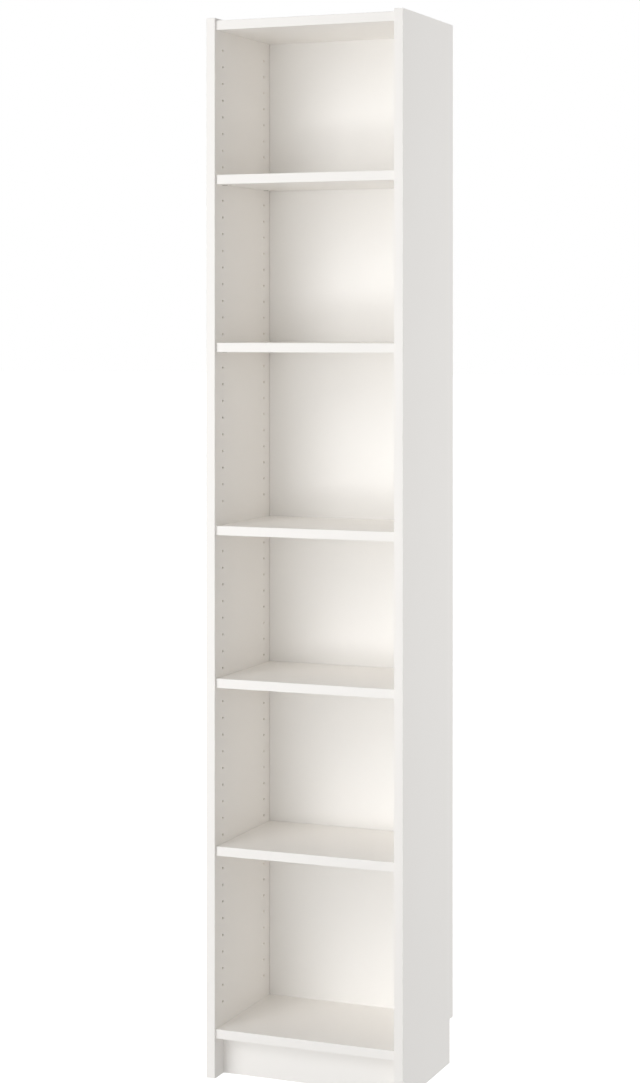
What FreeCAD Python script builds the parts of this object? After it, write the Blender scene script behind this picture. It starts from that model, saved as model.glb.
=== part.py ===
# Tall narrow bookcase: two side panels, three fixed boards, a plinth, a back and four
# adjustable shelves on push-in pins. Millimetres, +Z up, origin on the floor under the centre.
import FreeCAD, Part
import os
import Sketcher
from FreeCAD import Placement, Rotation, Vector

doc = FreeCAD.newDocument("bookcase")
sheet = doc.addObject("Spreadsheet::Sheet", "Sizes")

# Driving dimensions: name, value, what it is
SIZES = [
    ("case_width", 400, "outside, over the side panels"),
    ("case_depth", 280, "side panels, front edge to rear edge"),
    ("case_height", 2020, "floor to the top of the side panels"),
    ("board", 18, "thickness of every foil-wrapped board"),
    ("edge_radius", 0.8, "rounding of the wrapped front edges"),
    ("top_drop", 4.5, "top panel's surface below the tops of the sides"),
    ("front_setback", 5.5, "front edges of boards and shelves behind those of the sides"),
    ("back_setback", 18.5, "front of the back panel ahead of the sides' rear edges"),
    ("back_thickness", 3, "hardboard back panel"),
    ("groove_depth", 6, "groove in each side that holds the back panel"),
    ("groove_front_gap", 1, "in front of the back panel, which bears on the boards instead"),
    ("groove_clearance", 0.1, "between the back panel and the rear wall of its groove"),
    ("back_end_gap", 0.5, "between the back panel's edges and what they stop at"),
    ("plinth_height", 75, "floor to the underside of the bottom panel"),
    ("notch_rise", 10, "skirting-board cut-outs end this far above that underside"),
    ("plinth_setback", 40, "plinth behind the front edges of the sides"),
    ("fixed_shelf_height", 1034.5, "floor to the underside of the fixed middle shelf"),
    ("pin_pitch", 32, "spacing of the pin-hole rows"),
    ("pin_row_offset", 9.5, "height of hole row number 0, from which the rows are counted"),
    ("pin_row_margin", 30, "no hole centre is nearer than this to a fixed board"),
    ("pin_hole_diameter", 5, ""),
    ("pin_hole_end_gap", 1, "hole deeper than the pin's shank"),
    ("pin_front_inset", 37, "front hole column behind the side's front edge"),
    ("pin_rear_inset", 47, "rear hole column ahead of the side's rear edge"),
    ("pin_shank_length", 8, "part of the pin inside the side panel"),
    ("pin_nose_diameter", 7, "part of the pin under the shelf"),
    ("pin_nose_length", 9, ""),
    ("pin_chamfer", 0.8, "at both ends of the pin"),
    ("slot_side_gap", 0.5, "each side of the pin in the slot under the shelf"),
    ("slot_end_gap", 3, "left in the slot when the pin is pulled clear of its hole"),
    ("shelf_drop", 2, "shelf's underside below the centres of its pins"),
    ("shelf_end_gap", 0.5, "between a shelf's end and the side panel"),
    ("shelf_back_gap", 1, "between a shelf and the back panel"),
    ("seat_clearance", 0.3, "between a pin and the roof of its slot"),
    ("fit_clearance", 0.05, "round a pin, dowel, bolt, nail or screw in its hole"),
    ("cam_setback", 34, "cam's centre from the end of its board"),
    ("cam_hole_diameter", 15, ""),
    ("cam_floor", 0.7, "cam beyond the bolt head"),
    ("cam_end_gap", 0.6, "under the cam in its hole"),
    ("cam_clearance", 0.1, "round the cam in its hole"),
    ("cam_mouth_gap", 0.2, "each side of the bolt head in the cam's mouth"),
    ("cam_recess_length", 8, "screwdriver cross in the cam"),
    ("cam_recess_width", 1.4, ""),
    ("cam_recess_depth", 2.5, ""),
    ("bolt_thread_diameter", 5, "cam bolt, in the side panel"),
    ("bolt_thread_length", 10, ""),
    ("bolt_shaft_diameter", 7, "cam bolt, in the end of the board"),
    ("bolt_neck_diameter", 4.8, ""),
    ("bolt_head_diameter", 6.6, ""),
    ("bolt_head_length", 4.5, ""),
    ("bolt_bore_gap", 0.5, "round the shaft in the end of the board"),
    ("dowel_diameter", 8, ""),
    ("dowel_in_face", 10, "length of dowel in the face that a board meets"),
    ("dowel_in_end", 20, "length of dowel in the board itself"),
    ("dowel_offset", 32, "dowel from the cam bolt beside it"),
    ("hole_end_gap", 0.5, "blind hole deeper than what is in it"),
    ("plinth_dowel_height", 20, "end dowel of the plinth above the floor"),
    ("plinth_dowel_inset", 90, "dowels in the plinth's top edge, from its ends"),
    ("nail_diameter", 1.6, ""),
    ("nail_length", 20, "under the head"),
    ("nail_head_diameter", 3.8, ""),
    ("nail_head_thickness", 0.8, ""),
    ("nail_spacing", 120, ""),
    ("bracket_width", 40, "steel angle that fixes the case to a wall"),
    ("bracket_landing", 25, "length of it that lies on the top panel"),
    ("bracket_rise", 20, ""),
    ("bracket_thickness", 2, ""),
    ("bracket_bend", 3, "outer radius of its bend"),
    ("wall_screw_hole", 5.5, ""),
    ("wall_screw_height", 12, "above the top panel"),
    ("bracket_screw_spacing", 20, ""),
    ("bracket_screw_inset", 10, "from the front of the bracket"),
    ("screw_diameter", 4, ""),
    ("screw_length", 14, "under the head"),
    ("screw_head_diameter", 7.6, ""),
    ("screw_head_height", 2.4, ""),
]
for row, (name, value, meaning) in enumerate(SIZES, start=1):
    sheet.set(f"A{row}", name)
    sheet.set(f"B{row}", str(value))
    sheet.set(f"C{row}", meaning)
    sheet.setAlias(f"B{row}", name)
doc.recompute()

NAILS_PER_BOARD = 3
SHELVES_PER_BAY = 2


def size(name):
    return f"Sizes.{name}"


def minus(a, b):
    return f"({a} - {b})"


def plus(a, b):
    return f"({a} + {b})"


def half(a):
    return f"({a} / 2)"


def number(expression):
    """The value that an expression has now."""
    return float(sheet.evalExpression(str(expression)))


# Places and sizes that several pieces share
INNER_WIDTH = minus(size("case_width"), f"2 * {size('board')}")
FRONT = f"(-{size('case_depth')} / 2)"
BOARD_FRONT = plus(FRONT, size("front_setback"))
BOARD_DEPTH = "(Sizes.case_depth - Sizes.front_setback - Sizes.back_setback)"
BOARD_LEFT = f"(-{INNER_WIDTH} / 2)"
MID_BOARD = half(size("board"))
BOTTOM_UNDERSIDE = size("plinth_height")
FIXED_UNDERSIDE = size("fixed_shelf_height")
TOP_UNDERSIDE = "(Sizes.case_height - Sizes.top_drop - Sizes.board)"
TOP_SURFACE = plus(TOP_UNDERSIDE, size("board"))
BACK_FRONT = minus(half(size("case_depth")), size("back_setback"))
BACK_REAR = plus(BACK_FRONT, size("back_thickness"))
NOTCH_HEIGHT = plus(size("plinth_height"), size("notch_rise"))
BACK_BOTTOM = plus(NOTCH_HEIGHT, size("back_end_gap"))
BACK_TOP = minus(TOP_SURFACE, size("back_end_gap"))
PLINTH_FRONT = plus(FRONT, size("plinth_setback"))

# Pin and cam-bolt columns, measured from the front edge of a side panel
PIN_COLUMNS = {
    "front": size("pin_front_inset"),
    "rear": minus(size("case_depth"), size("pin_rear_inset")),
}
# Dowels stand beside the cam bolts, on the side nearer the middle of the board
DOWEL_COLUMNS = {
    "front": plus(PIN_COLUMNS["front"], size("dowel_offset")),
    "rear": minus(PIN_COLUMNS["rear"], size("dowel_offset")),
}
PLINTH_COLUMN = plus(size("plinth_setback"), MID_BOARD)
PLINTH_BOLT_HEIGHT = plus(size("plinth_dowel_height"), size("dowel_offset"))


def row_height(row):
    return f"({size('pin_row_offset')} + {size('pin_pitch')} * {row})"


def first_row_above(height):
    return f"ceil(({height} - {size('pin_row_offset')}) / {size('pin_pitch')})"


def last_row_below(height):
    return f"floor(({height} - {size('pin_row_offset')}) / {size('pin_pitch')})"


# The two bays that take adjustable shelves: floor and roof of each
BAYS = [
    (plus(BOTTOM_UNDERSIDE, size("board")), FIXED_UNDERSIDE),
    (plus(FIXED_UNDERSIDE, size("board")), TOP_UNDERSIDE),
]


def shelf_pin_height(bay, place):
    """Shelves share a bay evenly, and each is raised to the next row of holes."""
    floor, roof = BAYS[bay]
    share = f"{floor} + ({roof} - {floor}) * {place} / {SHELVES_PER_BAY + 1}"
    return row_height(first_row_above(f"({share} + {size('shelf_drop')})"))


# ---------------------------------------------------------------- drawing helpers
PLANES = {"XY": "XY_Plane", "XZ": "XZ_Plane", "YZ": "YZ_Plane"}
AXIS_SIGN = {"XY": 1, "XZ": -1, "YZ": 1}  # which way the plane's normal points along its axis


def origin_item(body, role):
    return next(item for item in body.Origin.OriginFeatures if item.Role == role)


def new_body(name):
    body = doc.addObject("PartDesign::Body", name)
    body.Label = name
    return body


def place(item, x="0", y="0", z="0", rotation=Rotation()):
    item.Placement = Placement(Vector(0, 0, 0), rotation)
    for axis, expression in (("x", x), ("y", y), ("z", z)):
        if expression != "0":
            item.setExpression(f"Placement.Base.{axis}", expression)


def new_sketch(body, name, plane, offset):
    """A sketch parallel to one of the body's own planes, offset along the axis."""
    sketch = body.newObject("Sketcher::SketchObject", name)
    sketch.AttachmentSupport = [(origin_item(body, PLANES[plane]), "")]
    sketch.MapMode = "FlatFace"
    if offset != "0":
        sign = "" if AXIS_SIGN[plane] > 0 else "-"
        sketch.setExpression("AttachmentOffset.Base.z", f"{sign}{offset}")
    return sketch


def pin_point(sketch, shape, corner, x, y):
    """Holds a point of a shape at x, y from the sketch's origin."""
    for kind, axis, expression in (("DistanceX", -2, x), ("DistanceY", -1, y)):
        if expression == "0":
            sketch.addConstraint(Sketcher.Constraint("PointOnObject", shape, corner, axis))
            continue
        at = sketch.addConstraint(
            Sketcher.Constraint(kind, -1, 1, shape, corner, number(expression))
        )
        name = f"{kind[-1].lower()}_{shape}"
        sketch.renameConstraint(at, name)
        sketch.setExpression(f"Constraints.{name}", expression)


def draw_outline(sketch, corners):
    """A closed outline of straight lines through corners, each held in x and y."""
    points = [Vector(number(x), number(y), 0) for x, y in corners]
    first = sketch.GeometryCount
    for start, end in zip(points, points[1:] + points[:1]):
        sketch.addGeometry(Part.LineSegment(start, end), False)
    for index in range(len(points)):
        following = first + (index + 1) % len(points)
        sketch.addConstraint(
            Sketcher.Constraint("Coincident", first + index, 2, following, 1)
        )
    for index, (x, y) in enumerate(corners):
        pin_point(sketch, first + index, 1, x, y)


def rectangle(x, y, width, depth):
    far_x, far_y = plus(x, width), plus(y, depth)
    return [(x, y), (far_x, y), (far_x, far_y), (x, far_y)]


def draw_circles(sketch, centres, diameter):
    for x, y in centres:
        circle = Part.Circle(
            Vector(number(x), number(y), 0), Vector(0, 0, 1), number(diameter) / 2
        )
        shape = sketch.addGeometry(circle, False)
        at = sketch.addConstraint(
            Sketcher.Constraint("Diameter", shape, number(diameter))
        )
        sketch.renameConstraint(at, f"diameter_{shape}")
        sketch.setExpression(f"Constraints.diameter_{shape}", diameter)
        pin_point(sketch, shape, 3, x, y)


def pad(body, name, plane, corners, length, toward=1):
    """A prism of an outline, from the origin plane along its axis (toward 1) or back (-1)."""
    sketch = new_sketch(body, name + "_sketch", plane, "0")
    draw_outline(sketch, corners)
    feature = body.newObject("PartDesign::Pad", name)
    feature.Profile = sketch
    feature.setExpression("Length", length)
    feature.Reversed = toward != AXIS_SIGN[plane]
    doc.recompute()
    return feature


def cut(body, name, sketch, plane, depth, inward):
    """Cuts a sketch into the body along its axis (inward 1) or back (-1)."""
    before = body.Shape.Volume
    feature = body.newObject("PartDesign::Pocket", name)
    feature.Profile = sketch
    feature.setExpression("Length", depth)
    feature.Reversed = inward == AXIS_SIGN[plane]
    doc.recompute()
    if not body.Shape.Volume < before - 1e-3:
        raise RuntimeError(f"{name} of {body.Label} cuts nothing")
    return feature


def drill(body, name, plane, offset, centres, diameter, depth, inward):
    sketch = new_sketch(body, name + "_sketch", plane, offset)
    draw_circles(sketch, centres, diameter)
    return cut(body, name, sketch, plane, depth, inward)


def mill(body, name, plane, offset, outlines, depth, inward):
    sketch = new_sketch(body, name + "_sketch", plane, offset)
    for corners in outlines:
        draw_outline(sketch, corners)
    return cut(body, name, sketch, plane, depth, inward)


def round_edges(body, feature, radius, wanted):
    """Rounds the edges of a feature whose middle and direction pass the test wanted."""
    names = []
    for index, edge in enumerate(feature.Shape.Edges, start=1):
        start, end = edge.Vertexes[0].Point, edge.Vertexes[-1].Point
        if wanted((start + end) / 2, (end - start).normalize()):
            names.append(f"Edge{index}")
    fillet = body.newObject("PartDesign::Fillet", feature.Name + "_rounding")
    fillet.Base = (feature, names)
    fillet.setExpression("Radius", radius)
    doc.recompute()


def turned(name, profile):
    """A body turned about its own X axis, from (distance along it, diameter) steps."""
    body = new_body(name)
    sketch = new_sketch(body, name + "_sketch", "XY", "0")
    ends = [(profile[0][0], "0")]
    ends += [(x, half(diameter)) for x, diameter in profile]
    ends += [(profile[-1][0], "0")]
    draw_outline(sketch, ends)
    feature = body.newObject("PartDesign::Revolution", name + "_turning")
    feature.Profile = sketch
    feature.ReferenceAxis = (origin_item(body, "X_Axis"), [""])
    feature.Angle = 360
    doc.recompute()
    return body


def group(name, pattern, places):
    """Copies of one fastener as separate solids in one node: x, y, z and turn of each."""
    copies = []
    for count, (x, y, z, rotation) in enumerate(places, start=1):
        copy = doc.addObject("App::Link", f"{name}_{count}")
        copy.LinkedObject = pattern
        place(copy, x, y, z, rotation)
        copies.append(copy)
    compound = doc.addObject("Part::Compound", name)
    compound.Label = name
    compound.Links = copies
    return compound


def hole_for(diameter):
    return f"({diameter} + 2 * {size('fit_clearance')})"


def in_hole(diameter):
    return f"({diameter} - 2 * {size('fit_clearance')})"


# Which way a piece that is drawn along +X or +Z has to be turned
ALONG_X = Rotation()
AGAINST_X = Rotation(Vector(0, 0, 1), 180)
AGAINST_Y = Rotation(Vector(0, 0, 1), -90)
AGAINST_Z = Rotation(Vector(0, 1, 0), 90)
FACE_DOWN = Rotation(Vector(1, 0, 0), 180)
FACE_REAR = Rotation(Vector(1, 0, 0), -90)

# The side panel a piece belongs to: name, its inner face, and the turn that points inwards
SIDES = {
    "left": (BOARD_LEFT, ALONG_X),
    "right": (half(INNER_WIDTH), AGAINST_X),
}
FIXED_BOARDS = {
    "top": TOP_UNDERSIDE,
    "fixed": FIXED_UNDERSIDE,
    "bottom": BOTTOM_UNDERSIDE,
}

# Holes and the fasteners that fill them
CAM_HEIGHT = f"({MID_BOARD} + {half(size('bolt_head_diameter'))} + {size('cam_floor')})"
CAM_HOLE_DEPTH = plus(CAM_HEIGHT, size("cam_end_gap"))
BOLT_BORE = f"({size('bolt_shaft_diameter')} + 2 * {size('bolt_bore_gap')})"
DOWEL_HOLE_IN_FACE = plus(size("dowel_in_face"), size("hole_end_gap"))
DOWEL_HOLE_IN_END = plus(size("dowel_in_end"), size("hole_end_gap"))
THREAD_HOLE_DEPTH = plus(size("bolt_thread_length"), size("hole_end_gap"))
NAIL_HOLE_DEPTH = f"(Sizes.nail_length - Sizes.back_thickness + {size('hole_end_gap')})"


def nail_heights():
    """Height of the nails above the underside of each fixed board."""
    above_notch = half(minus(plus(BOTTOM_UNDERSIDE, size("board")), BACK_BOTTOM))
    low = minus(plus(BACK_BOTTOM, above_notch), BOTTOM_UNDERSIDE)
    return {"top": MID_BOARD, "fixed": MID_BOARD, "bottom": low}


NAIL_X = [
    f"({INNER_WIDTH} / 2 + {index - (NAILS_PER_BOARD - 1) / 2} * {size('nail_spacing')})"
    for index in range(NAILS_PER_BOARD)
]
BRACKET_SCREW_X = [
    f"({side} * {size('bracket_screw_spacing')} / 2)" for side in (-1, 1)
]


# ---------------------------------------------------------------- side panels
def side_panel(side, outward):
    """Drawn from its lower front inner corner: Y to the rear, Z up, thickness outwards."""
    body = new_body(f"side_panel_{side}")
    notch_front = minus(size("case_depth"), size("back_setback"))
    outline = [
        ("0", "0"),
        (notch_front, "0"),
        (notch_front, NOTCH_HEIGHT),
        (size("case_depth"), NOTCH_HEIGHT),
        (size("case_depth"), size("case_height")),
        ("0", size("case_height")),
    ]
    slab = pad(body, f"{side}_slab", "YZ", outline, size("board"), outward)
    round_edges(
        body, slab, size("edge_radius"), lambda middle, along: abs(middle.y) < 1e-6
    )

    groove = rectangle(
        minus(notch_front, size("groove_front_gap")),
        NOTCH_HEIGHT,
        plus(plus(size("groove_front_gap"), size("back_thickness")), size("groove_clearance")),
        minus(size("case_height"), NOTCH_HEIGHT),
    )
    mill(body, f"{side}_back_groove", "YZ", "0", [groove], size("groove_depth"), outward)

    for bay, (floor, roof) in enumerate(BAYS, start=1):
        lowest = first_row_above(plus(floor, size("pin_row_margin")))
        highest = last_row_below(minus(roof, size("pin_row_margin")))
        holes = drill(
            body,
            f"{side}_pin_holes_{bay}",
            "YZ",
            "0",
            [(column, row_height(lowest)) for column in PIN_COLUMNS.values()],
            size("pin_hole_diameter"),
            plus(size("pin_shank_length"), size("pin_hole_end_gap")),
            outward,
        )
        rows = body.newObject("PartDesign::LinearPattern", f"{side}_pin_rows_{bay}")
        rows.Originals = [holes]
        rows.Direction = (origin_item(body, "Z_Axis"), [""])
        rows.setExpression("Length", f"{size('pin_pitch')} * ({highest} - {lowest})")
        rows.setExpression("Occurrences", f"{highest} - {lowest} + 1")
        body.Tip = rows
        doc.recompute()

    bolts, dowels = [], []
    for underside in FIXED_BOARDS.values():
        middle = plus(underside, MID_BOARD)
        bolts += [(column, middle) for column in PIN_COLUMNS.values()]
        dowels += [(column, middle) for column in DOWEL_COLUMNS.values()]
    bolts.append((PLINTH_COLUMN, PLINTH_BOLT_HEIGHT))
    dowels.append((PLINTH_COLUMN, size("plinth_dowel_height")))
    drill(body, f"{side}_bolt_holes", "YZ", "0", bolts, size("bolt_thread_diameter"),
          THREAD_HOLE_DEPTH, outward)
    drill(body, f"{side}_dowel_holes", "YZ", "0", dowels, size("dowel_diameter"),
          DOWEL_HOLE_IN_FACE, outward)
    place(body, SIDES[side][0], FRONT)
    return body


# ---------------------------------------------------------------- fixed boards
def board_column(column):
    """A column of the side panel, measured from the front edge of a board instead."""
    return minus(column, size("front_setback"))


def end_holes(body, bolts, dowels, width):
    """Holes for cam bolts and dowels in both ends of a board."""
    for end, offset, inward in (("left", "0", 1), ("right", width, -1)):
        drill(body, f"{body.Name}_{end}_bolt_bores", "YZ", offset, bolts,
              BOLT_BORE, size("cam_setback"), inward)
        drill(body, f"{body.Name}_{end}_dowel_bores", "YZ", offset, dowels,
              size("dowel_diameter"), DOWEL_HOLE_IN_END, inward)


def cam_places(width):
    return [size("cam_setback"), minus(width, size("cam_setback"))]


def fixed_board(name, role):
    """Drawn from its left front lower corner. Cams face up on top, down elsewhere."""
    body = new_body(name)
    slab = pad(body, f"{role}_slab", "XY", rectangle("0", "0", INNER_WIDTH, BOARD_DEPTH),
               size("board"))
    round_edges(
        body,
        slab,
        size("edge_radius"),
        lambda middle, along: abs(middle.y) < 1e-6 and abs(along.x) > 0.9,
    )
    columns = [board_column(column) for column in PIN_COLUMNS.values()]
    dowels = [(board_column(column), MID_BOARD) for column in DOWEL_COLUMNS.values()]
    end_holes(body, [(y, MID_BOARD) for y in columns], dowels, INNER_WIDTH)
    cam_face, inward = (size("board"), -1) if role == "top" else ("0", 1)
    cams = [(x, y) for x in cam_places(INNER_WIDTH) for y in columns]
    drill(body, f"{role}_cam_holes", "XY", cam_face, cams, size("cam_hole_diameter"),
          CAM_HOLE_DEPTH, inward)
    nails = [(x, nail_heights()[role]) for x in NAIL_X]
    drill(body, f"{role}_nail_holes", "XZ", BOARD_DEPTH, nails,
          hole_for(size("nail_diameter")), NAIL_HOLE_DEPTH, -1)
    place(body, BOARD_LEFT, BOARD_FRONT, FIXED_BOARDS[role])
    return body


def top_panel():
    body = fixed_board("top_panel", "top")
    screw_y = f"({BOARD_DEPTH} - Sizes.bracket_landing + Sizes.bracket_screw_inset)"
    screws = [(plus(half(INNER_WIDTH), x), screw_y) for x in BRACKET_SCREW_X]
    depth = f"(Sizes.screw_length - Sizes.bracket_thickness + {size('hole_end_gap')})"
    drill(body, "bracket_screw_holes", "XY", size("board"), screws,
          hole_for(size("screw_diameter")), depth, -1)
    return body


PLINTH_TOP_DOWEL_X = [
    size("plinth_dowel_inset"),
    minus(INNER_WIDTH, size("plinth_dowel_inset")),
]


def bottom_panel():
    body = fixed_board("bottom_panel", "bottom")
    dowels = [(x, board_column(PLINTH_COLUMN)) for x in PLINTH_TOP_DOWEL_X]
    drill(body, "plinth_dowel_holes", "XY", "0", dowels, size("dowel_diameter"),
          DOWEL_HOLE_IN_FACE, 1)
    return body


def plinth():
    """Drawn from its left front lower corner, and stands on the floor."""
    body = new_body("plinth")
    pad(body, "plinth_slab", "XY", rectangle("0", "0", INNER_WIDTH, size("board")),
        size("plinth_height"))
    end_holes(body, [(MID_BOARD, PLINTH_BOLT_HEIGHT)],
              [(MID_BOARD, size("plinth_dowel_height"))], INNER_WIDTH)
    cams = [(x, PLINTH_BOLT_HEIGHT) for x in cam_places(INNER_WIDTH)]
    drill(body, "plinth_cam_holes", "XZ", size("board"), cams,
          size("cam_hole_diameter"), CAM_HOLE_DEPTH, -1)
    drill(body, "plinth_top_dowel_bores", "XY", size("plinth_height"),
          [(x, MID_BOARD) for x in PLINTH_TOP_DOWEL_X], size("dowel_diameter"),
          DOWEL_HOLE_IN_END, -1)
    place(body, BOARD_LEFT, PLINTH_FRONT)
    return body


# ---------------------------------------------------------------- back panel
def back_panel():
    """Slides down in the side grooves, and is nailed to the three fixed boards."""
    body = new_body("back_panel")
    reach = minus(size("groove_depth"), size("back_end_gap"))
    width = f"({INNER_WIDTH} + 2 * {reach})"
    pad(body, "back_sheet", "XY", rectangle("0", "0", width, size("back_thickness")),
        minus(BACK_TOP, BACK_BOTTOM))
    nails = [
        (plus(reach, x), minus(plus(FIXED_BOARDS[role], nail_heights()[role]), BACK_BOTTOM))
        for role in FIXED_BOARDS
        for x in NAIL_X
    ]
    drill(body, "back_nail_holes", "XZ", "0", nails, hole_for(size("nail_diameter")),
          size("back_thickness"), 1)
    place(body, f"(-{width} / 2)", BACK_FRONT, BACK_BOTTOM)
    return body


# ---------------------------------------------------------------- adjustable shelves
SHELF_WIDTH = f"({INNER_WIDTH} - 2 * {size('shelf_end_gap')})"
SHELF_DEPTH = minus(BOARD_DEPTH, size("shelf_back_gap"))


def adjustable_shelf(number_from_floor, pin_height):
    """Drawn from its left front lower corner, with a round-ended slot over each pin."""
    body = new_body(f"adjustable_shelf_{number_from_floor}")
    slab = pad(body, f"shelf_slab_{number_from_floor}", "XY",
               rectangle("0", "0", SHELF_WIDTH, SHELF_DEPTH), size("board"))
    round_edges(
        body, slab, size("edge_radius"), lambda middle, along: abs(middle.y) < 1e-6
    )
    slot_width = f"({size('pin_nose_diameter')} + 2 * {size('slot_side_gap')})"
    slot_radius = half(slot_width)
    pulled = plus(size("pin_nose_length"), size("pin_shank_length"))
    straight = minus(plus(pulled, size("slot_end_gap")), size("shelf_end_gap"))
    depth = "(Sizes.shelf_drop + Sizes.pin_nose_diameter / 2 + Sizes.seat_clearance)"
    columns = [board_column(column) for column in PIN_COLUMNS.values()]
    starts = ["0", minus(SHELF_WIDTH, straight)]
    outlines = [
        rectangle(x, minus(y, slot_radius), straight, slot_width)
        for x in starts
        for y in columns
    ]
    mill(body, f"pin_slots_{number_from_floor}", "XY", "0", outlines, depth, 1)
    round_ends = [(x, y) for x in (straight, minus(SHELF_WIDTH, straight)) for y in columns]
    drill(body, f"slot_ends_{number_from_floor}", "XY", "0", round_ends,
          slot_width, depth, 1)
    left = plus(BOARD_LEFT, size("shelf_end_gap"))
    place(body, left, BOARD_FRONT, minus(pin_height, size("shelf_drop")))
    return body


def shelf_pins(number_from_floor, pin_height):
    """Four turned steel pins: a shank in the side panel and a nose under the shelf."""
    nose, shank = size("pin_nose_diameter"), in_hole(size("pin_hole_diameter"))
    bevel = f"2 * {size('pin_chamfer')}"
    profile = [
        (f"(-{size('pin_shank_length')})", minus(shank, bevel)),
        (f"({size('pin_chamfer')} - {size('pin_shank_length')})", shank),
        ("0", shank),
        ("0", nose),
        (minus(size("pin_nose_length"), size("pin_chamfer")), nose),
        (size("pin_nose_length"), minus(nose, bevel)),
    ]
    pins = []
    for side, (inner_face, inwards) in SIDES.items():
        for column, distance in PIN_COLUMNS.items():
            pin = turned(f"shelf_pin_{number_from_floor}_{side}_{column}", profile)
            place(pin, inner_face, plus(FRONT, distance), pin_height, inwards)
            pins.append(pin)
    return pins


# ---------------------------------------------------------------- fasteners
def cam_bolt():
    """Threaded into the side panel (-X), with a head that its cam pulls (+X)."""
    cam_edge = minus(size("cam_setback"), half(size("cam_hole_diameter")))
    head_end = plus(size("cam_setback"), half(size("bolt_head_length")))
    head_start = minus(size("cam_setback"), half(size("bolt_head_length")))
    thread = in_hole(size("bolt_thread_diameter"))
    return turned("cam_bolt", [
        (f"(-{size('bolt_thread_length')})", thread),
        ("0", thread),
        ("0", size("bolt_shaft_diameter")),
        (cam_edge, size("bolt_shaft_diameter")),
        (cam_edge, size("bolt_neck_diameter")),
        (head_start, size("bolt_neck_diameter")),
        (head_start, size("bolt_head_diameter")),
        (head_end, size("bolt_head_diameter")),
    ])


def cam_lock():
    """A drum with its driver face at z = 0, open below and to -X for the bolt head."""
    body = new_body("cam_lock")
    sketch = new_sketch(body, "cam_outline", "XY", "0")
    diameter = f"({size('cam_hole_diameter')} - 2 * {size('cam_clearance')})"
    draw_circles(sketch, [("0", "0")], diameter)
    drum = body.newObject("PartDesign::Pad", "cam_drum")
    drum.Profile = sketch
    drum.setExpression("Length", CAM_HEIGHT)
    drum.Reversed = True
    doc.recompute()
    bolt_room = plus(half(size("bolt_head_diameter")), size("cam_mouth_gap"))
    roof = minus(MID_BOARD, bolt_room)
    mouth_end = plus(half(size("bolt_head_length")), size("seat_clearance"))
    mouth = [
        (f"(-{size('cam_hole_diameter')})", f"(-{bolt_room})"),
        (mouth_end, f"(-{bolt_room})"),
        (mouth_end, bolt_room),
        (f"(-{size('cam_hole_diameter')})", bolt_room),
    ]
    mill(body, "cam_mouth_cut", "XY", f"(-{CAM_HEIGHT})", [mouth],
         minus(CAM_HEIGHT, roof), 1)
    long, wide = half(size("cam_recess_length")), half(size("cam_recess_width"))
    cross = [
        (f"(-{long})", f"(-{wide})"), (f"(-{wide})", f"(-{wide})"),
        (f"(-{wide})", f"(-{long})"), (wide, f"(-{long})"),
        (wide, f"(-{wide})"), (long, f"(-{wide})"),
        (long, wide), (wide, wide),
        (wide, long), (f"(-{wide})", long),
        (f"(-{wide})", wide), (f"(-{long})", wide),
    ]
    mill(body, "cam_cross", "XY", "0", [cross], size("cam_recess_depth"), -1)
    return body


def dowel():
    """Beech dowel, centred on the joint: into the face (-X) and into the board (+X)."""
    body_diameter = in_hole(size("dowel_diameter"))
    start, end = f"(-{size('dowel_in_face')})", size("dowel_in_end")
    point = minus(body_diameter, "2")
    return turned("dowel", [
        (start, point), (plus(start, "1"), body_diameter),
        (minus(end, "1"), body_diameter), (end, point),
    ])


def headed(name, head_diameter, head_thickness, diameter, length):
    """A nail or screw that points along +X, with its head behind the surface at x = 0."""
    taper = minus(length, diameter)
    return turned(name, [
        (f"(-{head_thickness})", head_diameter), ("0", head_diameter),
        ("0", diameter), (taper, diameter), (length, half(diameter)),
    ])


def side_places(column_list, height):
    """A place on each side panel's inner face for every column."""
    return [
        (inner_face, plus(FRONT, column), height, inwards)
        for inner_face, inwards in SIDES.values()
        for column in column_list
    ]


def cam_spots(column_list, surface, turn):
    """A place on a board's face for the cam at each end of every column."""
    spots = []
    for side, (inner_face, inwards) in SIDES.items():
        step = plus if side == "left" else minus
        spots += [
            (step(inner_face, size("cam_setback")), column, surface, turn.multiply(inwards))
            for column in column_list
        ]
    return spots


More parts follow.
